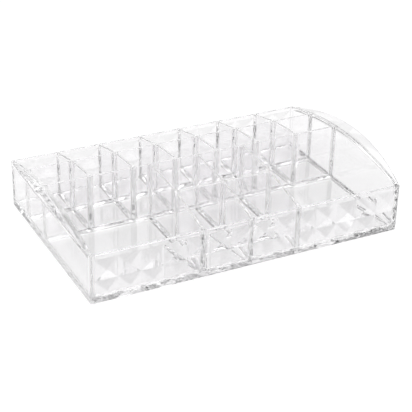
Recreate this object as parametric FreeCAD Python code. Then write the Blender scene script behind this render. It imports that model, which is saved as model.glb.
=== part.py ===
import FreeCAD, Part
import math
import os

Vector = FreeCAD.Vector

# Body of the tray, in millimetres
body_length = 300.0  # across the outer faces of the side panels, without their lips
body_depth = 191.0  # across the flat planes of the front and back walls, without the facets
wall_height = 45.0  # top of the front and back walls
crown_rise = 13.5  # how much higher the side panels and inner walls stand at mid depth
base_thickness = 4.0
side_thickness = 3.5
wall_thickness = 3.0  # front and back walls, behind the facets
corner_radius = 2.5  # upright outer corners of the side panels

# Lifting lip along the top of each side panel, bowed outward
lip_reach = 10.3  # beyond the panel at mid depth
lip_lift = 1.7  # rise of the lip's rim over its root
lip_root = 3.4  # thickness where it leaves the panel
lip_edge = 2.6  # thickness at the rim
lip_inset = 3.0  # plain panel left at each end of the lip

# Pyramid facets on the outside of the front and back walls
facet_columns = 14
facet_rows = 2
facet_rise = 2.6  # height of each pyramid
facet_foot_band = 1.0  # plain band below the facets
facet_top_band = 4.0  # plain band above the facets

# Inner walls, which stand on the base
column_count = 7  # columns of small cells
divider_thickness = 2.0
cross_wall_thickness = 2.0
rib_thickness = 2.2
rear_cell_depth = 35.5  # clear depth of the rear row of small cells
middle_cell_depth = 41.0  # clear depth of the next row
front_cell_depth = 51.0  # clear depth of the two cells behind the front wall
rib_spacing = 46.5  # from the centre rib to each outer rib

# Joints between the pieces
wall_seat = 1.0  # depth of the grooves and rebates in the four outer walls
inner_seat = 0.6  # depth of the grooves in the inner walls
fit_gap = 0.1  # clearance on each side of a plate in its groove or slot, and at its ends
cut_margin = 1.0  # how far open-topped cuts run above the highest wall

# Places worked out from the sizes
half_length = body_length / 2
half_depth = body_depth / 2
inner_x = half_length - side_thickness  # inner faces of the side panels
inner_y = half_depth - wall_thickness  # inner faces of the front and back walls
wall_reach = wall_seat - fit_gap  # how far a piece enters an outer wall
inner_reach = inner_seat - fit_gap  # how far a piece enters an inner wall
rear_y = inner_y - rear_cell_depth - cross_wall_thickness / 2
middle_y = rear_y - middle_cell_depth - cross_wall_thickness
front_y = front_cell_depth + cross_wall_thickness / 2 - inner_y
column_pitch = 2 * inner_x / column_count
divider_places = [column_pitch * i - inner_x for i in range(1, column_count)]
rib_places = [-rib_spacing, 0.0, rib_spacing]
crown_radius = (inner_y ** 2 + crown_rise ** 2) / (2 * crown_rise)
crown_top = wall_height + crown_rise
over_top = crown_top + lip_lift + cut_margin


def crown_z(y):
    """Height of the arched tops at depth y: an arc between the front and back walls, level over them."""
    if abs(y) > inner_y:
        return wall_height
    return crown_top - crown_radius + math.sqrt(crown_radius ** 2 - y ** 2)


def block(x0, x1, y0, y1, z0, z1):
    """Box between two opposite corners."""
    return Part.makeBox(x1 - x0, y1 - y0, z1 - z0, Vector(x0, y0, z0))


def crown_point(x, y, drop):
    """Point of the arched top in the plane at x, lowered by drop."""
    return Vector(x, y, crown_z(y) - drop)


def crown_line(x, y0, y1, drop):
    """Edges of the arched top from y0 to y1: an arc, with a level run over the front or back wall."""
    arc_y0 = max(y0, -inner_y)
    arc_y1 = min(y1, inner_y)
    points = [crown_point(x, y, drop) for y in (arc_y0, (arc_y0 + arc_y1) / 2, arc_y1)]
    edges = []
    if y0 < arc_y0:
        edges.append(Part.makeLine(crown_point(x, y0, drop), points[0]))
    edges.append(Part.Arc(*points).toShape())
    if y1 > arc_y1:
        edges.append(Part.makeLine(points[2], crown_point(x, y1, drop)))
    return edges


def arched_plate(x0, x1, y0, y1, z0):
    """Upright plate along Y, from z0 up to the arched top."""
    low_end = Vector(x0, y1, z0)
    low_start = Vector(x0, y0, z0)
    sides = crown_line(x0, y0, y1, 0.0)
    sides.append(Part.makeLine(crown_point(x0, y1, 0.0), low_end))
    sides.append(Part.makeLine(low_end, low_start))
    sides.append(Part.makeLine(low_start, crown_point(x0, y0, 0.0)))
    return Part.Face(Part.Wire(sides)).extrude(Vector(x1 - x0, 0, 0))


def lip_section(x, lift, thickness):
    """Closed outline of the lip in the plane at x: an arched band of the given thickness."""
    reach = half_depth - lip_inset
    lower_drop = thickness - lift
    sides = crown_line(x, -reach, reach, -lift)
    sides.append(Part.makeLine(crown_point(x, reach, -lift), crown_point(x, reach, lower_drop)))
    sides += crown_line(x, -reach, reach, lower_drop)
    sides.append(Part.makeLine(crown_point(x, -reach, lower_drop), crown_point(x, -reach, -lift)))
    return Part.Wire(Part.__sortEdges__(sides))


def make_right_lip():
    """Lip that bows out from the right panel: a rising band trimmed to a crescent in plan."""
    rim_x = half_length + lip_reach
    root_section = lip_section(half_length, 0.0, lip_root)
    rim_section = lip_section(rim_x, lip_lift, lip_edge)
    band = Part.makeLoft([root_section, rim_section], True, True)
    reach = half_depth - lip_inset
    near = Vector(half_length, -reach, 0)
    far = Vector(half_length, reach, 0)
    bow = Part.Arc(near, Vector(rim_x, 0, 0), far).toShape()
    plan = Part.Face(Part.Wire([bow, Part.makeLine(far, near)]))
    return band.common(plan.extrude(Vector(0, 0, over_top)))


def make_right_side_panel():
    """Right side panel with its lip, and the grooves that take the walls, the base and the cross walls."""
    outer = block(inner_x, half_length, -half_depth, half_depth, 0, over_top)
    corners = []
    for edge in outer.Edges:
        middle = edge.CenterOfMass
        if abs(middle.x - half_length) < fit_gap and abs(abs(middle.y) - half_depth) < fit_gap:
            corners.append(edge)
    outer = outer.makeFillet(corner_radius, corners)
    panel = outer.common(arched_plate(inner_x, half_length, -half_depth, half_depth, 0))
    panel = panel.fuse(make_right_lip()).removeSplitter()
    seat_x = inner_x + wall_seat
    cuts = [block(inner_x, seat_x, -half_depth, half_depth, 0, base_thickness)]
    cuts.append(block(inner_x, seat_x, -half_depth, -inner_y, 0, over_top))
    cuts.append(block(inner_x, seat_x, inner_y, half_depth, 0, over_top))
    half_slot = cross_wall_thickness / 2 + fit_gap
    for y in (rear_y, middle_y):
        cuts.append(block(inner_x, seat_x, y - half_slot, y + half_slot, base_thickness, over_top))
    return panel.cut(cuts)


def pyramid(x0, x1, z0, z1, plane_y, point_y):
    """Four-sided facet on a wall's outer plane, with its point in the middle."""
    corners = [Vector(x, plane_y, z) for x, z in ((x0, z0), (x1, z0), (x1, z1), (x0, z1))]
    point = Vector((x0 + x1) / 2, point_y, (z0 + z1) / 2)
    faces = [Part.Face(Part.makePolygon(corners + [corners[0]]))]
    for i in range(4):
        faces.append(Part.Face(Part.makePolygon([corners[i], corners[(i + 1) % 4], point, corners[i]])))
    solid = Part.makeSolid(Part.makeShell(faces))
    if solid.Volume < 0:
        solid.reverse()
    return solid


def make_faceted_wall(slot_places, slot_thickness):
    """Front wall: a plate with facets outside, a rebate for the base and upright grooves inside."""
    end_x = inner_x + wall_reach
    wall = block(-end_x, end_x, -half_depth, -inner_y, 0, wall_height)
    facet_width = 2 * inner_x / facet_columns
    facet_height = (wall_height - facet_foot_band - facet_top_band) / facet_rows
    point_y = -half_depth - facet_rise
    facets = []
    for row in range(facet_rows):
        z0 = facet_foot_band + facet_height * row
        z1 = z0 + facet_height
        for column in range(facet_columns):
            x0 = facet_width * column - inner_x
            facets.append(pyramid(x0, x0 + facet_width, z0, z1, -half_depth, point_y))
    wall = wall.fuse(facets).removeSplitter()
    seat_y = -inner_y - wall_seat
    cuts = [block(-end_x, end_x, seat_y, -inner_y, 0, base_thickness)]
    half_slot = slot_thickness / 2 + fit_gap
    for x in slot_places:
        cuts.append(block(x - half_slot, x + half_slot, seat_y, -inner_y, base_thickness, over_top))
    return wall.cut(cuts)


def make_base():
    """Floor plate, which sits in the rebates of the four outer walls."""
    end_x = inner_x + wall_reach
    end_y = inner_y + wall_reach
    return block(-end_x, end_x, -end_y, end_y, 0, base_thickness)


def make_cross_wall(y, end_x):
    """Plain cross wall that stands on the base at depth y."""
    half = cross_wall_thickness / 2
    return block(-end_x, end_x, y - half, y + half, base_thickness, crown_z(y))


def lap_height(y):
    """Height at which two crossing walls are notched into each other."""
    return (base_thickness + crown_z(y)) / 2


def notch_from_top(wall, y, places, thickness):
    """Cut open-topped notches in a cross wall for the walls that cross it."""
    half_wall = cross_wall_thickness / 2
    half_slot = thickness / 2 + fit_gap
    floor = lap_height(y)
    cuts = []
    for x in places:
        cuts.append(block(x - half_slot, x + half_slot, y - half_wall, y + half_wall, floor, over_top))
    return wall.cut(cuts)


def notch_from_below(plate, x, y, thickness):
    """Cut the notch in a divider or rib that drops over a cross wall."""
    half_plate = thickness / 2
    half_slot = cross_wall_thickness / 2 + fit_gap
    top = lap_height(y) + fit_gap
    notch = block(x - half_plate, x + half_plate, y - half_slot, y + half_slot, base_thickness, top)
    return plate.cut(notch)


def make_middle_cross_wall():
    """Cross wall with grooves behind for the dividers and in front for the ribs."""
    wall = make_cross_wall(middle_y, inner_x + wall_reach)
    half_wall = cross_wall_thickness / 2
    front_face = middle_y - half_wall
    front_seat = front_face + inner_seat
    rear_face = middle_y + half_wall
    rear_seat = rear_face - inner_seat
    cuts = []
    half_slot = divider_thickness / 2 + fit_gap
    for x in divider_places:
        cuts.append(block(x - half_slot, x + half_slot, rear_seat, rear_face, base_thickness, over_top))
    half_slot = rib_thickness / 2 + fit_gap
    for x in rib_places:
        cuts.append(block(x - half_slot, x + half_slot, front_face, front_seat, base_thickness, over_top))
    return wall.cut(cuts)


def make_divider(x):
    """Divider between two columns of small cells, notched over the rear cross wall."""
    half = divider_thickness / 2
    start = middle_y + cross_wall_thickness / 2 - inner_reach
    plate = arched_plate(x - half, x + half, start, inner_y + wall_reach, base_thickness)
    return notch_from_below(plate, x, rear_y, divider_thickness)


def make_rib(x):
    """Rib from the front wall to the middle cross wall."""
    half = rib_thickness / 2
    end = middle_y - cross_wall_thickness / 2 + inner_reach
    return arched_plate(x - half, x + half, -inner_y - wall_reach, end, base_thickness)


def make_left_rib():
    """Left rib, with a groove on its inner face for the front cross wall."""
    face = rib_thickness / 2 - rib_spacing
    half_slot = cross_wall_thickness / 2 + fit_gap
    y0 = front_y - half_slot
    y1 = front_y + half_slot
    groove = block(face - inner_seat, face, y0, y1, base_thickness, over_top)
    return make_rib(-rib_spacing).cut(groove)


def make_front_cross_wall():
    """Short cross wall between the outer ribs, notched for the centre rib."""
    end_x = rib_spacing - rib_thickness / 2 + inner_reach
    return notch_from_top(make_cross_wall(front_y, end_x), front_y, [0.0], rib_thickness)


def mirrored(shape, normal):
    """Mirror image of a shape in the plane through the origin with this normal."""
    return shape.mirror(Vector(0, 0, 0), normal)


left_to_right = Vector(1, 0, 0)
front_to_back = Vector(0, 1, 0)
pieces = {"base": make_base()}
pieces["front_wall"] = make_faceted_wall(rib_places, rib_thickness)
pieces["back_wall"] = mirrored(make_faceted_wall(divider_places, divider_thickness), front_to_back)
pieces["right_side_panel"] = make_right_side_panel()
pieces["left_side_panel"] = mirrored(pieces["right_side_panel"], left_to_right)
rear_wall = make_cross_wall(rear_y, inner_x + wall_reach)
pieces["rear_cross_wall"] = notch_from_top(rear_wall, rear_y, divider_places, divider_thickness)
pieces["middle_cross_wall"] = make_middle_cross_wall()
for number, place in enumerate(divider_places, 1):
    pieces["column_divider_%d" % number] = make_divider(place)
pieces["left_front_rib"] = make_left_rib()
pieces["centre_front_rib"] = notch_from_below(make_rib(0.0), 0.0, front_y, rib_thickness)
pieces["right_front_rib"] = mirrored(pieces["left_front_rib"], left_to_right)
pieces["front_cross_wall"] = make_front_cross_wall()

os.makedirs("parts", exist_ok=True)
for node, shape in pieces.items():
    solid = shape.Solids[0]
    solid.exportStep("parts/%s.step" % node)
    print(node, len(shape.Solids), solid.isValid(), round(solid.Volume, 1))
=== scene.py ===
import math

import bmesh
import bpy
import numpy as np
from mathutils import Matrix, Vector


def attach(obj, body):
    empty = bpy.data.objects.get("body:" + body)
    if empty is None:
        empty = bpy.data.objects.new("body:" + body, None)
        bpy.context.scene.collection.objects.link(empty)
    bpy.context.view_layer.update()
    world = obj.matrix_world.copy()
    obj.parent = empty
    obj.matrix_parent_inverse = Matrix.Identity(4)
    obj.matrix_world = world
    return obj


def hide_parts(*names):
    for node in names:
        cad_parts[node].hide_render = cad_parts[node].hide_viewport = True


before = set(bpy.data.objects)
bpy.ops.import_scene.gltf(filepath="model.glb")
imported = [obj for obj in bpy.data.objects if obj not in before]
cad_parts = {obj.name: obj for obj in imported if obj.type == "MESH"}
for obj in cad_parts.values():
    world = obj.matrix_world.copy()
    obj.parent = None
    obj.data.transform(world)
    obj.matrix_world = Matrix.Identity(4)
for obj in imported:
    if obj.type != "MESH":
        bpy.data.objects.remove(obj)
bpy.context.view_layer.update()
print("frame loaded:", len(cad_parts), "nodes")

mm = 0.001  # shapes are worked out in millimetres
near = 1e-4  # places closer than this count as one
placeDigits = 5  # decimals that places are rounded to before they are compared
meshForm = {
    "weld": 1e-6,  # metres
    "sharpAngle": 24.0,  # degrees
}

trayBody = {
    "halfLength": 150.0,  # to the outer faces of the side panels
    "halfDepth": 95.5,  # to the flat planes of the front and back walls
    "wallHeight": 45.0,
    "crownRise": 13.5,  # how much higher the inner walls stand at mid depth
    "baseThickness": 4.0,
    "sideThickness": 3.5,
    "wallThickness": 3.0,
}
innerX = trayBody["halfLength"] - trayBody["sideThickness"]
innerY = trayBody["halfDepth"] - trayBody["wallThickness"]
floorZ = trayBody["baseThickness"]

# moulded radii inside every compartment
cellForm = {
    "corner": 3.2,  # upright corners
    "foot": 3.7,  # cove round the floor
    "edge": 0.8,  # rounded rim
    "draft": 0.25,  # lean of each wall from foot to rim
    "cornerSteps": 6,
    "footSteps": 8,
    "edgeSteps": 4,
    "rest": 0.25,  # narrow flat beside every rounding, so that the wide flats stay flat in shading
    "lapZ": 29.0,  # height of the half laps where walls cross
}

# places of the inner walls
wallPlan = {
    "columns": 7,
    "dividerThickness": 2.0,
    "crossThickness": 2.0,
    "ribThickness": 2.2,
    "rearY": 56.0,
    "middleY": 13.0,
    "frontY": -40.5,
    "ribX": 46.5,
}


# the tops lie on one long arc between the front and back walls, level over those walls
def crownZ(y):
    rise = trayBody["crownRise"]
    radius = (innerY ** 2 + rise ** 2) / (2 * rise)
    height = np.sqrt(radius ** 2 - np.minimum(np.abs(y), innerY) ** 2)
    return trayBody["wallHeight"] + rise - radius + height


# levels up a wall: quarter round cove, lap height, quarter round rim, a narrow flat beside each rounding
# inset is how far the wall stands into the compartment
# height is share * crown + (1 - share) * floor + rise
def wallLevels():
    foot, edge, draft, rest = (cellForm[k] for k in ("foot", "edge", "draft", "rest"))
    low = np.linspace(0, np.pi / 2, cellForm["footSteps"] + 1)
    high = np.linspace(0, np.pi / 2, cellForm["edgeSteps"] + 1)
    inset = [foot * (1 - np.sin(low)) + draft, [draft, draft / 2, 0], edge * (np.cos(high) - 1)]
    share = [np.zeros(len(low) + 2), np.ones(len(high) + 1)]
    plain = [foot + rest, cellForm["lapZ"] - floorZ, -edge - rest]
    rise = [foot * (1 - np.cos(low)), plain, edge * (np.sin(high) - 1)]
    inset, share, rise = (np.concatenate(parts) for parts in (inset, share, rise))
    return inset, share, rise, len(low) + 1


levelInset, levelShare, levelRise, lapLevel = wallLevels()
levelCount = len(levelInset)


def levelHeight(y):
    return levelShare * crownZ(y) + (1 - levelShare) * floorZ + levelRise


# one side of a compartment: half an upright corner, the straight wall, half a corner
# corner point = corner centre - radius * (cos, sin) of 45 to 90 degrees
# radius = corner radius - inset, or 0
def cellSide(start, end):
    corner = cellForm["corner"]
    turn = np.linspace(np.pi / 4, np.pi / 2, cellForm["cornerSteps"] + 1)[:, None]
    radius = np.maximum(corner - levelInset, 0)
    along = levelInset + radius * (1 - np.cos(turn))
    depth = levelInset + radius * (1 - np.sin(turn))
    along = np.vstack([along, along[-1:] + cellForm["rest"]])
    depth = np.vstack([depth, depth[-1:]])
    plain = np.append(corner - corner * np.cos(turn[:, 0]), corner + cellForm["rest"])
    sharp = np.zeros((1, levelCount))
    joint = np.zeros(2 * len(plain) + 1, bool)
    joint[[0, -1]] = True
    return {
        "place": np.concatenate([[start], start + plain, end - plain[::-1], [end]]),
        "along": np.vstack([start + sharp, start + along, end - along[::-1], end + sharp]),
        "depth": np.vstack([sharp, depth, depth[::-1], sharp]),
        "joint": joint,
    }


# the plain end of a flank that runs past its last compartment
def plainEnd(place):
    return {
        "place": [place],
        "along": np.full((1, levelCount), place),
        "depth": np.zeros((1, levelCount)),
        "joint": [],
    }


# a whole flank: compartment sides in a row, with bonded patches where other walls butt against it
def wallFlank(cells, start, end):
    sides = [cellSide(low, high) for name, low, high in cells]
    if start < sides[0]["place"][0]:
        sides.insert(0, plainEnd(start))
    if end > sides[-1]["place"][-1]:
        sides.append(plainEnd(end))
    joint = list(sides[0]["joint"])
    for side in sides[1:]:
        joint += [True] + list(side["joint"])
    flank = {key: np.concatenate([side[key] for side in sides]) for key in ("place", "along", "depth")}
    flank["joint"] = np.array(joint, bool)
    flank["cells"] = cells
    return flank


# the flank read at more places, on the straight lines between its own points
def readFlank(flank, places):
    own = flank["place"]
    along = np.stack([np.interp(places, own, column) for column in flank["along"].T], 1)
    depth = np.stack([np.interp(places, own, column) for column in flank["depth"].T], 1)
    middle = (places[1:] + places[:-1]) / 2
    segment = np.clip(np.searchsorted(own, middle) - 1, 0, len(flank["joint"]) - 1)
    return along, depth, flank["joint"][segment]


def mergedPlaces(*lists):
    return np.unique(np.round(np.concatenate(lists), placeDigits))


floorSides = {}  # floor outline of each compartment, side by side
bondedStrips = []  # where the walls stand on the base


def keepFloor(flank, places, points, side):
    for name, start, end in flank["cells"]:
        inside = (places > start + near) & (places < end - near)
        floorSides.setdefault(name, {})[side] = points[inside]


# point numbers of a tube of rows by columns, and its quads
def gridFaces(rows, columns):
    index = np.arange(rows * columns).reshape(rows, columns)
    beside = np.roll(index, -1, 1)
    return index, np.stack([index[:-1], index[1:], beside[1:], beside[:-1]], -1)


seamMark = 2  # marks are 0 for plain faces, 1 for bonded ones and this for the edge of the base


def makePiece(name, points, faces, marks, node, flat=()):
    mesh = bpy.data.meshes.new(name)
    mesh.from_pydata((np.asarray(points) * mm).tolist(), [], faces)
    mesh.materials.append(plastic)
    mesh.materials.append(bond)
    mesh.materials.append(seam)
    mesh.polygons.foreach_set("material_index", np.asarray(marks, np.int32))
    smooth = np.ones(len(faces), bool)
    smooth[list(flat)] = False
    mesh.polygons.foreach_set("use_smooth", smooth)
    work = bmesh.new()
    work.from_mesh(mesh)
    bmesh.ops.remove_doubles(work, verts=work.verts, dist=meshForm["weld"])
    bmesh.ops.recalc_face_normals(work, faces=work.faces)
    loose = sum(len(edge.link_faces) != 2 for edge in work.edges)
    smooth = [face.smooth for face in work.faces]
    work.to_mesh(mesh)
    work.free()
    mesh.set_sharp_from_angle(angle=math.radians(meshForm["sharpAngle"]))
    mesh.polygons.foreach_set("use_smooth", smooth)
    piece = bpy.data.objects.new(name, mesh)
    bpy.context.scene.collection.objects.link(piece)
    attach(piece, "root")
    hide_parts(node)
    print(name, "faces", len(mesh.polygons), "open edges", loose)


# an inner wall: two flanks, a top on the crown and a foot on the base, carried along its length
# laps are the stretches where a crossing wall is let in, from above or from below
def innerWall(name, node, axis, centre, thickness, lowFlank, highFlank, laps=(), lapFrom="above"):
    places = mergedPlaces(lowFlank["place"], highFlank["place"])
    stations = []
    cut = []
    for place in places:
        starts = any(abs(place - low) < near for low, high in laps)
        ends = any(abs(place - high) < near for low, high in laps)
        within = any(low < place < high for low, high in laps)
        stations += [place, place] if starts or ends else [place]
        cut += [False, True] if starts else [True, False] if ends else [within]
    stations = np.array(stations)
    cut = np.array(cut)
    lapZ = cellForm["lapZ"]
    sections = []
    joints = []
    for flank, sign, side in ((lowFlank, -1, 0), (highFlank, 1, 1)):
        along, depth, joint = readFlank(flank, stations)
        across = centre + sign * (thickness / 2 + depth)
        x, y = (along, across) if axis == "x" else (across, along)
        z = levelHeight(y)
        limited = np.minimum(z, lapZ) if lapFrom == "above" else np.maximum(z, lapZ)
        points = np.stack([x, y, np.where(cut[:, None], limited, z)], -1)
        sideName = (("back", "front") if axis == "x" else ("right", "left"))[side]
        keepFloor(flank, stations, points[:, 0], sideName)
        sections.append(points)
        joints.append(joint)
    run = np.diff(stations) > near
    standing = ~cut[1:] & ~cut[:-1] if lapFrom == "below" else run
    bondedStrips.append((sections[0][:, 0], sections[1][:, 0], standing))
    points = np.concatenate([sections[0], sections[1][:, ::-1]], 1)
    index, quads = gridFaces(*points.shape[:2])
    mark = np.ones(quads.shape[:2], bool)
    mark[:, :levelCount - 1] = joints[0][:, None]
    mark[:, levelCount - 1] = cut[1:] & cut[:-1] & (lapFrom == "above")
    mark[:, levelCount:-1] = joints[1][:, None]
    faces = quads[run].reshape(-1, 4).tolist()
    marks = mark[run].reshape(-1).tolist()
    for k in np.nonzero(~run)[0]:  # upright sides of a lap
        full = k if cut[k + 1] else k + 1
        levels = range(lapLevel, levelCount) if lapFrom == "above" else range(lapLevel + 1)
        opposite = [2 * levelCount - 1 - v for v in reversed(levels)]
        faces.append(index[full, list(levels) + opposite].tolist())
        marks.append(True)
    faces += [index[0].tolist(), index[-1].tolist()]
    marks += [True, True]
    makePiece(name, points.reshape(-1, 3), faces, marks, node)


facetForm = {
    "columns": 14,
    "rows": 2,
    "rise": 2.6,
    "footBand": 1.0,
    "topBand": 4.0,
}


# front or back wall: moulded flank inside, square pyramids outside
def facetedWall(name, node, sign, cells):
    edge, steps = cellForm["edge"], cellForm["edgeSteps"]
    outer, top = trayBody["halfDepth"], trayBody["wallHeight"]
    columns = np.linspace(-innerX, innerX, facetForm["columns"] + 1)
    rows = np.linspace(facetForm["footBand"], top - facetForm["topBand"], facetForm["rows"] + 1)
    flank = wallFlank(cells, -innerX, innerX)
    places = mergedPlaces(flank["place"], columns)
    along, depth, joint = readFlank(flank, places)
    y = sign * (innerY - depth)
    inside = np.stack([along, y, levelHeight(y)], -1)
    keepFloor(flank, places, inside[:, 0], "front" if sign < 0 else "back")
    turn = np.linspace(np.pi / 2, 0, steps + 1)
    outline = [(outer - edge + edge * math.cos(t), top - edge + edge * math.sin(t)) for t in turn]
    outline += [(outer, 0.0), (innerY, 0.0), (innerY, floorZ)]
    ones = np.ones(len(places))
    rest = np.stack([np.stack([places, sign * a * ones, z * ones], -1) for a, z in outline], 1)
    bondedStrips.append((inside[:, 0], rest[:, -1], np.ones(len(places) - 1, bool)))
    points = np.concatenate([inside, rest], 1)
    index, quads = gridFaces(*points.shape[:2])
    mark = np.zeros(quads.shape[:2], bool)
    mark[:, :levelCount - 1] = joint[:, None]
    mark[:, -2:] = True
    faceted = levelCount + steps  # the strip that the facets fill
    keep = np.arange(quads.shape[1]) != faceted
    faces = quads[:, keep].reshape(-1, 4).tolist()
    marks = mark[:, keep].reshape(-1).tolist()
    first = points.shape[0] * points.shape[1]
    gridX, gridZ = np.meshgrid(columns, rows)
    knots = np.stack([gridX, np.full(gridX.shape, sign * outer), gridZ], -1)
    peaks = (knots[:-1, :-1] + knots[1:, 1:]) / 2
    peaks[..., 1] = sign * (outer + facetForm["rise"])
    knot = first + np.arange(gridX.size).reshape(gridX.shape)
    peak = first + gridX.size + np.arange(peaks.shape[0] * peaks.shape[1]).reshape(peaks.shape[:2])
    ring = [knot[:-1, :-1], knot[:-1, 1:], knot[1:, 1:], knot[1:, :-1]]
    triangles = np.stack([np.stack([ring[i], ring[(i + 1) % 4], peak], -1) for i in range(4)])
    flat = list(range(len(faces), len(faces) + triangles.size // 3 + 2 * facetForm["columns"]))
    faces += triangles.reshape(-1, 3).tolist()
    for j in range(facetForm["columns"]):  # plain bands above and below the facets
        span = np.nonzero((places > columns[j] - near) & (places < columns[j + 1] + near))[0]
        faces.append([knot[-1, j], knot[-1, j + 1]] + index[span[::-1], faceted].tolist())
        faces.append([knot[0, j + 1], knot[0, j]] + index[span, faceted + 1].tolist())
    marks += [False] * (len(faces) - len(marks))
    for k in (0, -1):  # ends, bonded to the side panels
        loop = [index[k, :faceted + 1], knot[::-1, k], index[k, faceted + 1:]]
        faces.append(np.concatenate(loop).tolist())
        marks.append(True)
    points = np.concatenate([points.reshape(-1, 3), knots.reshape(-1, 3), peaks.reshape(-1, 3)])
    makePiece(name, points, faces, marks, node, flat)


lipForm = {
    "reach": 10.3,  # beyond the panel at mid depth
    "lift": 1.7,  # rise of the rim over the root
    "root": 3.4,  # thickness at the panel
    "edge": 2.6,  # thickness at the rim
    "inset": 3.0,  # plain panel at each end
    "cove": 3.0,  # radius under the root
    "rim": 1.15,  # rounding of the rim
    "plainRim": 0.5,  # rounding of the panel's top edge where the lip has no reach
    "blend": 3.0,  # reach over which that rounding grows to the rim's
    "lowerShare": 0.45,  # share of the reach that the lower rounding may take
    "coveShare": 0.5,  # share of the reach that the cove may take
    "corner": 2.5,  # upright outer corners of the panel
    "foot": ((0.0, 0.8), (0.0, 0.5), (-0.15, 0.15), (-0.5, 0.0)),  # bottom edge, as (outward, up)
    "stations": 61,
    "cornerPoints": 7,
    "rimPoints": 6,
    "lowerPoints": 5,
    "covePoints": 6,
}


# side panel: moulded flank inside, and outside a lip, carried along the crown and bowed out in plan
def sidePanel(name, node, sign, cells):
    end = trayBody["halfDepth"]
    outer = trayBody["halfLength"]
    corner = lipForm["corner"]
    root = lipForm["root"]
    reach = end - lipForm["inset"]
    flank = wallFlank(cells, -end, end)
    turn = np.linspace(0, np.pi / 2, lipForm["cornerPoints"])
    nearEnd = end - corner + corner * np.sin(turn)
    stations = np.linspace(-reach, reach, lipForm["stations"])
    places = mergedPlaces(flank["place"], stations, nearEnd, -nearEnd)
    along, depth, joint = readFlank(flank, places)
    inside = np.stack([sign * (innerX - depth), along, levelHeight(along)], -1)
    keepFloor(flank, places, inside[:, 0], "left" if sign < 0 else "right")
    past = np.clip(np.abs(places) - (end - corner), 0, corner)
    face = (outer - corner + np.sqrt(corner ** 2 - past ** 2))[:, None]
    radius = (reach ** 2 + lipForm["reach"] ** 2) / (2 * lipForm["reach"])
    bow = lipForm["reach"] - radius + np.sqrt(radius ** 2 - np.minimum(np.abs(places), reach) ** 2)
    bow = np.maximum(bow, 0)[:, None]
    crown = crownZ(places)[:, None]
    topSlope = lipForm["lift"] / lipForm["reach"]
    underSlope = (lipForm["lift"] - lipForm["edge"] + root) / lipForm["reach"]
    topTurn = math.atan(topSlope)
    underTurn = math.atan(underSlope)
    rim = face + bow
    plainRim = lipForm["plainRim"]
    upper = plainRim + (lipForm["rim"] - plainRim) * np.minimum(1, bow / lipForm["blend"])
    lower = np.minimum(lipForm["rim"], lipForm["lowerShare"] * bow)
    cove = np.minimum(lipForm["cove"], lipForm["coveShare"] * bow)
    upperAngles = np.linspace(np.pi / 2 + topTurn, 0.0, lipForm["rimPoints"])
    lowerAngles = np.linspace(0.0, underTurn - np.pi / 2, lipForm["lowerPoints"])
    coveAngles = np.linspace(np.pi / 2 + underTurn, np.pi, lipForm["covePoints"])
    arcs = []
    for size, centreX, slope, drop, side, angle in (
        (upper, rim - upper, topSlope, 0.0, -1 / math.cos(topTurn), upperAngles),
        (lower, rim - lower, underSlope, root, 1 / math.cos(underTurn), lowerAngles),
        (cove, face + cove, underSlope, root, -1 / math.cos(underTurn), coveAngles),
    ):
        centreZ = crown - drop + slope * (centreX - face) + side * size
        arcs.append(np.stack([centreX + size * np.cos(angle), centreZ + size * np.sin(angle)], -1))
    foot = np.array(lipForm["foot"])[None]
    low = np.stack([face + foot[..., 0], np.broadcast_to(foot[..., 1], (len(places), foot.shape[1]))], -1)
    arcs.append(arcs[2][:, -1:] - np.array([0, cellForm["rest"]]))
    inner = np.broadcast_to(np.array([[innerX, 0.0], [innerX, floorZ]])[None], (len(places), 2, 2))
    outline = np.concatenate(arcs + [low, inner], 1)
    restY = np.broadcast_to(places[:, None], outline.shape[:2])
    rest = np.stack([sign * outline[..., 0], restY, outline[..., 1]], -1)
    within = np.abs((places[1:] + places[:-1]) / 2) < innerY
    bondedStrips.append((inside[:, 0], rest[:, -1], within))
    points = np.concatenate([inside, rest], 1)
    index, quads = gridFaces(*points.shape[:2])
    mark = np.zeros(quads.shape[:2], bool)
    mark[:, :levelCount - 1] = joint[:, None]
    mark[:, -2:] = True
    faces = quads.reshape(-1, 4).tolist() + [index[0].tolist(), index[-1].tolist()]
    marks = mark.reshape(-1).tolist() + [False, False]
    makePiece(name, points.reshape(-1, 3), faces, marks, node)


# base: a floor in every compartment, bonded strips under the walls, plain sides and underside
def floorPlate(name, node):
    points = []
    faces = []
    marks = []

    def addFace(loop, mark):
        faces.append(list(range(len(points), len(points) + len(loop))))
        points.extend(np.asarray(loop).tolist())
        marks.append(mark)

    for sides in floorSides.values():
        loop = [sides["front"], sides["right"], sides["back"][::-1], sides["left"][::-1]]
        addFace(np.concatenate(loop), False)
    for low, high, standing in bondedStrips:
        wide = np.linalg.norm(low - high, axis=1) > near
        for k in np.nonzero(standing & (wide[1:] | wide[:-1]))[0]:
            addFace(np.stack([low[k], low[k + 1], high[k + 1], high[k]]), True)
    rim = np.unique(np.round(np.array(points), placeDigits), axis=0)
    ring = [(-innerX, -innerY), (innerX, -innerY), (innerX, innerY), (-innerX, innerY)]
    for k in range(4):
        x0, y0 = ring[k]
        x1, y1 = ring[(k + 1) % 4]
        offset = rim[:, 0] - x0 if x0 == x1 else rim[:, 1] - y0
        onEdge = rim[np.abs(offset) < near]
        order = np.argsort((onEdge[:, 0] - x0) * np.sign(x1 - x0) + (onEdge[:, 1] - y0) * np.sign(y1 - y0))
        addFace(np.concatenate([[(x0, y0, 0), (x1, y1, 0)], onEdge[order][::-1]]), seamMark)
    addFace([(x, y, 0) for x, y in ring[::-1]], False)
    makePiece(name, points, faces, marks, node)


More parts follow.
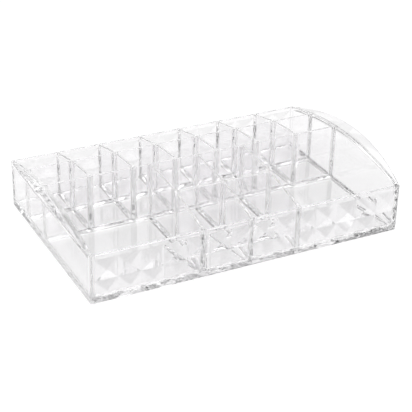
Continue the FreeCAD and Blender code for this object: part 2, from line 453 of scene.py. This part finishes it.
clearPlastic = {
    "tints": ((0.997, 0.993, 0.998, 1.0), (0.993, 0.989, 0.995, 1.0)),  # palest and deepest
    "tintScale": 30.0,  # clouds of tint per metre
    "waveScale": 45.0,  # moulding waves per metre
    "waveHeight": 0.000005,  # metres
    "ior": 1.52,
    "roughness": 0.0,
}


# noise in object space: slow waves of the moulded faces and faint clouds of tint
def clearPlasticMaterial():
    material = bpy.data.materials.new("clearPlastic")
    material.use_nodes = True
    tree = material.node_tree
    shader = tree.nodes["Principled BSDF"]
    shader.inputs["IOR"].default_value = clearPlastic["ior"]
    shader.inputs["Roughness"].default_value = clearPlastic["roughness"]
    shader.inputs["Transmission Weight"].default_value = 1.0
    place = tree.nodes.new("ShaderNodeTexCoord").outputs["Object"]
    clouds = tree.nodes.new("ShaderNodeTexNoise")
    clouds.inputs["Scale"].default_value = clearPlastic["tintScale"]
    tree.links.new(place, clouds.inputs["Vector"])
    tint = tree.nodes.new("ShaderNodeMix")
    tint.data_type = "RGBA"
    tint.inputs["A"].default_value, tint.inputs["B"].default_value = clearPlastic["tints"]
    tree.links.new(clouds.outputs["Fac"], tint.inputs["Factor"])
    tree.links.new(tint.outputs["Result"], shader.inputs["Base Color"])
    waves = tree.nodes.new("ShaderNodeTexNoise")
    waves.inputs["Scale"].default_value = clearPlastic["waveScale"]
    waves.inputs["Detail"].default_value = 0.0
    tree.links.new(place, waves.inputs["Vector"])
    bump = tree.nodes.new("ShaderNodeBump")
    bump.inputs["Strength"].default_value = 1.0
    bump.inputs["Distance"].default_value = clearPlastic["waveHeight"]
    tree.links.new(waves.outputs["Fac"], bump.inputs["Height"])
    tree.links.new(bump.outputs["Normal"], shader.inputs["Normal"])
    return material


bondLook = {
    "haze": 0.025,  # left by the solvent where two pieces meet
    "seamHaze": 0.2,  # round the edge of the base
    "colour": (0.99, 0.99, 1.0, 1.0),
}


# bonded faces between two pieces: the plastic runs on, apart from some haze
def bondMaterial(name, amount):
    material = bpy.data.materials.new(name)
    material.use_nodes = True
    tree = material.node_tree
    tree.nodes.clear()
    clear = tree.nodes.new("ShaderNodeBsdfTransparent")
    haze = tree.nodes.new("ShaderNodeBsdfTranslucent")
    haze.inputs["Color"].default_value = bondLook["colour"]
    blend = tree.nodes.new("ShaderNodeMixShader")
    blend.inputs["Fac"].default_value = amount
    output = tree.nodes.new("ShaderNodeOutputMaterial")
    tree.links.new(clear.outputs["BSDF"], blend.inputs[1])
    tree.links.new(haze.outputs["BSDF"], blend.inputs[2])
    tree.links.new(blend.outputs["Shader"], output.inputs["Surface"])
    return material


plastic = clearPlasticMaterial()
bond = bondMaterial("bondedJoint", bondLook["haze"])
seam = bondMaterial("baseSeam", bondLook["seamHaze"])

# compartments along each wall, as (name, low end, high end)
pitch = 2 * innerX / wallPlan["columns"]
dividerX = [pitch * i - innerX for i in range(1, wallPlan["columns"])]
divider = wallPlan["dividerThickness"]
cross = wallPlan["crossThickness"]
rib = wallPlan["ribThickness"]
halfDivider = divider / 2
halfCross = cross / 2
halfRib = rib / 2
lowX = [-innerX] + [x + halfDivider for x in dividerX]
highX = [x - halfDivider for x in dividerX] + [innerX]
rearRow = [("rear%d" % i, a, b) for i, (a, b) in enumerate(zip(lowX, highX))]
middleRow = [("middle%d" % i, a, b) for i, (a, b) in enumerate(zip(lowX, highX))]
ribX = wallPlan["ribX"]
leftTrayX = ("leftTray", -innerX, -ribX - halfRib)
rightTrayX = ("rightTray", ribX + halfRib, innerX)
leftCellX = (-ribX + halfRib, -halfRib)
rightCellX = (halfRib, ribX - halfRib)
frontPair = [("frontLeft", *leftCellX), ("frontRight", *rightCellX)]
innerPair = [("innerLeft", *leftCellX), ("innerRight", *rightCellX)]
rearY, middleY, frontY = (wallPlan[k] for k in ("rearY", "middleY", "frontY"))
rearSpan = (rearY + halfCross, innerY)
middleSpan = (middleY + halfCross, rearY - halfCross)
traySpan = (-innerY, middleY - halfCross)
frontSpan = (-innerY, frontY - halfCross)
innerSpan = (frontY + halfCross, middleY - halfCross)

facetedWall("facetedFrontWall", "front_wall", -1, [leftTrayX] + frontPair + [rightTrayX])
facetedWall("facetedBackWall", "back_wall", 1, rearRow)


# small cells of one column, from the middle row to the rear row
def columnCells(number):
    return [("middle%d" % number, *middleSpan), ("rear%d" % number, *rearSpan)]


def cellPair(side):
    return [("front" + side, *frontSpan), ("inner" + side, *innerSpan)]


lastColumn = wallPlan["columns"] - 1
sidePanel("leftSidePanel", "left_side_panel", -1, [("leftTray", *traySpan)] + columnCells(0))
sidePanel("rightSidePanel", "right_side_panel", 1, [("rightTray", *traySpan)] + columnCells(lastColumn))

rearFlanks = [wallFlank(row, -innerX, innerX) for row in (middleRow, rearRow)]
dividerLaps = [(x - halfDivider, x + halfDivider) for x in dividerX]
innerWall("rearCrossWall", "rear_cross_wall", "x", rearY, cross, *rearFlanks, dividerLaps, "above")
middleFront = [leftTrayX] + innerPair + [rightTrayX]
middleFlanks = [wallFlank(row, -innerX, innerX) for row in (middleFront, middleRow)]
innerWall("middleCrossWall", "middle_cross_wall", "x", middleY, cross, *middleFlanks)
shortFlanks = [wallFlank(pair, -ribX + halfRib, ribX - halfRib) for pair in (frontPair, innerPair)]
ribLap = [(-halfRib, halfRib)]
innerWall("frontCrossWall", "front_cross_wall", "x", frontY, cross, *shortFlanks, ribLap, "above")
rearLap = [(rearY - halfCross, rearY + halfCross)]
for i, x in enumerate(dividerX):
    flanks = [wallFlank(columnCells(k), middleSpan[0], innerY) for k in (i, i + 1)]
    number = i + 1
    node = "column_divider_%d" % number
    innerWall("columnDivider%d" % number, node, "y", x, divider, *flanks, rearLap, "below")
frontLap = [(frontY - halfCross, frontY + halfCross)]
trayFlanks = [wallFlank([(name, *traySpan)], *traySpan) for name in ("leftTray", "rightTray")]
cellFlanks = [wallFlank(cellPair(side), *traySpan) for side in ("Left", "Right")]
innerWall("leftFrontRib", "left_front_rib", "y", -ribX, rib, trayFlanks[0], cellFlanks[0])
innerWall("centreFrontRib", "centre_front_rib", "y", 0.0, rib, *cellFlanks, frontLap, "below")
innerWall("rightFrontRib", "right_front_rib", "y", ribX, rib, cellFlanks[1], trayFlanks[1])
floorPlate("floorPlate", "base")

# floor and world
floorLook = {
    "size": 6.0,
    "drop": 0.0004,
    "colour": (0.9, 0.9, 0.9, 1.0),
    "white": 0.9,  # share of the white that needs no light, so that the shadow stays faint
    "glow": 1.03,
    "through": 0.97,  # painted shade: white of the table where it is seen through the plastic, drawn darker in place of the shadow under the tray
    "polish": 1.8,  # refractive index of the table's polish
    "lit": (0.35, 0.9),  # painted pool of light: in the plastic the table is white to the first distance and dim from the second
    "dim": 0.4,
}
halfFloor = floorLook["size"] / 2
floorMesh = bpy.data.meshes.new("studioFloor")
floorCorners = ((-1, -1), (1, -1), (1, 1), (-1, 1))
floorPoints = [(x * halfFloor, y * halfFloor, -floorLook["drop"]) for x, y in floorCorners]
floorMesh.from_pydata(floorPoints, [], [(0, 1, 2, 3)])
floor = bpy.data.objects.new("studioFloor", floorMesh)
bpy.context.scene.collection.objects.link(floor)


# 1 for rays that see the background: straight from the camera, mirrored or through the plastic
def seenRays(tree):
    path = tree.nodes.new("ShaderNodeLightPath")
    total = path.outputs["Is Camera Ray"]
    for name in ("Is Glossy Ray", "Is Transmission Ray"):
        most = tree.nodes.new("ShaderNodeMath")
        most.operation = "MAXIMUM"
        tree.links.new(total, most.inputs[0])
        tree.links.new(path.outputs[name], most.inputs[1])
        total = most.outputs[0]
    return total


floorMaterial = bpy.data.materials.new("studioFloor")
floorMaterial.use_nodes = True
floorTree = floorMaterial.node_tree
shade = floorTree.nodes["Principled BSDF"]
shade.inputs["Base Color"].default_value = floorLook["colour"]
shade.inputs["Roughness"].default_value = 1.0
shade.inputs["Specular IOR Level"].default_value = 0.0
through = floorTree.nodes.new("ShaderNodeLightPath").outputs["Is Transmission Ray"]
glow = floorTree.nodes.new("ShaderNodeEmission")
# painted shade: rays seen through the plastic get the darker through white instead of the glow
under = floorTree.nodes.new("ShaderNodeMapRange")
under.inputs["To Min"].default_value = floorLook["glow"]
under.inputs["To Max"].default_value = floorLook["through"]
floorTree.links.new(through, under.inputs["Value"])
# painted pool of light: for rays other than camera rays the table's glow falls off with distance from the
# tray's centre
fromCentre = floorTree.nodes.new("ShaderNodeVectorMath")
fromCentre.operation = "LENGTH"
floorTree.links.new(floorTree.nodes.new("ShaderNodeTexCoord").outputs["Object"], fromCentre.inputs[0])
paintedFalloff = floorTree.nodes.new("ShaderNodeMapRange")
paintedFalloff.interpolation_type = "SMOOTHSTEP"
paintedFalloff.inputs["From Min"].default_value, paintedFalloff.inputs["From Max"].default_value = floorLook["lit"]
paintedFalloff.inputs["To Min"].default_value = 1.0
paintedFalloff.inputs["To Max"].default_value = floorLook["dim"]
floorTree.links.new(fromCentre.outputs["Value"], paintedFalloff.inputs["Value"])
straight = floorTree.nodes.new("ShaderNodeMath")
straight.operation = "MAXIMUM"
floorTree.links.new(paintedFalloff.outputs["Result"], straight.inputs[0])
floorTree.links.new(floorTree.nodes.new("ShaderNodeLightPath").outputs["Is Camera Ray"], straight.inputs[1])
shine = floorTree.nodes.new("ShaderNodeMath")
shine.operation = "MULTIPLY"
floorTree.links.new(under.outputs["Result"], shine.inputs[0])
floorTree.links.new(straight.outputs[0], shine.inputs[1])
floorTree.links.new(shine.outputs[0], glow.inputs["Strength"])
amount = floorTree.nodes.new("ShaderNodeMath")
amount.operation = "MULTIPLY"
amount.inputs[1].default_value = floorLook["white"]
floorTree.links.new(seenRays(floorTree), amount.inputs[0])
paper = floorTree.nodes.new("ShaderNodeMixShader")
floorTree.links.new(amount.outputs[0], paper.inputs[0])
floorTree.links.new(shade.outputs[0], paper.inputs[1])
floorTree.links.new(glow.outputs[0], paper.inputs[2])
# polished table: mirrors the backdrop where it is seen through the plastic
mirror = floorTree.nodes.new("ShaderNodeBsdfGlossy")
mirror.inputs["Roughness"].default_value = 0.0
fresnel = floorTree.nodes.new("ShaderNodeFresnel")
fresnel.inputs["IOR"].default_value = floorLook["polish"]
mirrorShare = floorTree.nodes.new("ShaderNodeMath")
mirrorShare.operation = "MULTIPLY"
floorTree.links.new(fresnel.outputs[0], mirrorShare.inputs[0])
floorTree.links.new(through, mirrorShare.inputs[1])
table = floorTree.nodes.new("ShaderNodeMixShader")
floorTree.links.new(mirrorShare.outputs[0], table.inputs[0])
floorTree.links.new(paper.outputs[0], table.inputs[1])
floorTree.links.new(mirror.outputs[0], table.inputs[2])
floorTree.links.new(table.outputs[0], floorTree.nodes["Material Output"].inputs["Surface"])
floorMesh.materials.append(floorMaterial)

# studio seen in the plastic: bright backdrop behind the tray, dark sides, bright top and two soft panels
# each side is its bearing from the backdrop in degrees, and its stops as (sine of the elevation, grey)
studioLook = {
    "bearing": 27.4,  # direction of the backdrop, in degrees from +Y towards +X
    "cameraSide": (180.0, ((0.0, 0.0), (0.75, 0.0), (0.78, 1.0))),
    "rightSide": (90.0, ((0.0, 0.0), (0.75, 0.0), (0.78, 1.0))),
    "leftSide": (-90.0, ((0.0, 0.0), (0.95, 0.0), (0.97, 1.0))),
    "backdrop": (0.0, ((0.0, 1.0), (0.56, 0.9), (0.58, 0.0), (0.69, 0.0), (0.713, 1.0))),
    "edge": (0.85, 0.95),  # cosine of the angle from a side's middle where it turns into its neighbour
    "backPanel": {"distance": 2.9, "rise": 1.0, "tip": -90, "width": 3.6, "height": 0.6, "radiance": 0.5},
    "topPanel": {"distance": 0.0, "rise": 1.2, "tip": 0, "width": 2.2, "height": 2.2, "radiance": 1.45},
}


def elevationRamp(tree, height, stops):
    ramp = tree.nodes.new("ShaderNodeValToRGB")
    while len(ramp.color_ramp.elements) < len(stops):
        ramp.color_ramp.elements.new(0.5)
    for element, (place, grey) in zip(ramp.color_ramp.elements, stops):
        element.position = place
        element.color = (grey, grey, grey, 1.0)
    tree.links.new(height, ramp.inputs[0])
    return ramp.outputs["Color"]


def mixColour(tree, factor, first, second):
    mix = tree.nodes.new("ShaderNodeMix")
    mix.data_type = "RGBA"
    tree.links.new(factor, mix.inputs["Factor"])
    for socket, value in ((mix.inputs["A"], first), (mix.inputs["B"], second)):
        if isinstance(value, tuple):
            socket.default_value = value
        else:
            tree.links.new(value, socket)
    return mix.outputs["Result"]


world = bpy.data.worlds.new("studioWorld")
bpy.context.scene.world = world
world.use_nodes = True
worldTree = world.node_tree
background = worldTree.nodes["Background"]
direction = worldTree.nodes.new("ShaderNodeTexCoord").outputs["Generated"]
split = worldTree.nodes.new("ShaderNodeSeparateXYZ")
worldTree.links.new(direction, split.inputs[0])
levelled = worldTree.nodes.new("ShaderNodeVectorMath")
levelled.operation = "MULTIPLY"
levelled.inputs[1].default_value = (1, 1, 0)
worldTree.links.new(direction, levelled.inputs[0])
heading = worldTree.nodes.new("ShaderNodeVectorMath")
heading.operation = "NORMALIZE"
worldTree.links.new(levelled.outputs[0], heading.inputs[0])
sky = None
for name in ("cameraSide", "rightSide", "leftSide", "backdrop"):
    angle, stops = studioLook[name]
    angle = math.radians(studioLook["bearing"] + angle)
    greys = elevationRamp(worldTree, split.outputs["Z"], stops)
    facing = worldTree.nodes.new("ShaderNodeVectorMath")
    facing.operation = "DOT_PRODUCT"
    facing.inputs[1].default_value = (math.sin(angle), math.cos(angle), 0)
    worldTree.links.new(heading.outputs[0], facing.inputs[0])
    within = worldTree.nodes.new("ShaderNodeMapRange")
    within.interpolation_type = "SMOOTHSTEP"
    within.inputs["From Min"].default_value, within.inputs["From Max"].default_value = studioLook["edge"]
    worldTree.links.new(facing.outputs["Value"], within.inputs["Value"])
    sky = greys if sky is None else mixColour(worldTree, within.outputs["Result"], sky, greys)
seenSky = mixColour(worldTree, seenRays(worldTree), (1, 1, 1, 1), sky)
worldTree.links.new(seenSky, background.inputs["Color"])
background.inputs["Strength"].default_value = 1.0


# soft panel: a rectangle of even radiance on the backdrop's bearing, tipped back by so many degrees
def softPanel(name):
    panel = studioLook[name]
    bearing = math.radians(studioLook["bearing"])
    light = bpy.data.lights.new(name, "AREA")
    light.shape = "RECTANGLE"
    light.size = panel["width"]
    light.size_y = panel["height"]
    light.energy = panel["radiance"] * math.pi * panel["width"] * panel["height"]
    lamp = bpy.data.objects.new(name, light)
    away = panel["distance"]
    lamp.location = (away * math.sin(bearing), away * math.cos(bearing), panel["rise"])
    lamp.rotation_euler = (math.radians(panel["tip"]), 0, -bearing)
    bpy.context.scene.collection.objects.link(lamp)


softPanel("backPanel")
softPanel("topPanel")

bpy.context.scene.view_settings.view_transform = "Standard"
# room for light that crosses many clear walls
lightPaths = {
    "bounces": 400,
    "clearFaces": 800,
}
cycles = bpy.context.scene.cycles
cycles.max_bounces = lightPaths["bounces"]
cycles.transmission_bounces = lightPaths["bounces"]
cycles.glossy_bounces = lightPaths["bounces"]
cycles.transparent_max_bounces = lightPaths["clearFaces"]

# photograph's viewpoint, in metres and degrees
cameraLook = {
    "place": (-0.4718, -0.9160, 0.5704),
    "azimuth": -27.43,
    "elevation": 28.51,
    "roll": 1.33,
    "lens": 111.4,
    "sensor": 36.0,
    "clipStart": 0.01,
}
az, el, roll = (math.radians(cameraLook[k]) for k in ("azimuth", "elevation", "roll"))
back = Vector((math.sin(az) * math.cos(el), -math.cos(az) * math.cos(el), math.sin(el)))
across = Vector((0, 0, 1)).cross(back).normalized()
right = across * math.cos(roll) + back.cross(across) * math.sin(roll)
cameraTurn = Matrix((right, back.cross(right), back)).transposed().to_4x4()
cameraData = bpy.data.cameras.new("photoCamera")
cameraData.lens = cameraLook["lens"]
cameraData.sensor_width = cameraLook["sensor"]
cameraData.clip_start = cameraLook["clipStart"]
camera = bpy.data.objects.new("photoCamera", cameraData)
camera.matrix_world = Matrix.Translation(cameraLook["place"]) @ cameraTurn
bpy.context.scene.collection.objects.link(camera)
bpy.context.scene.camera = camera
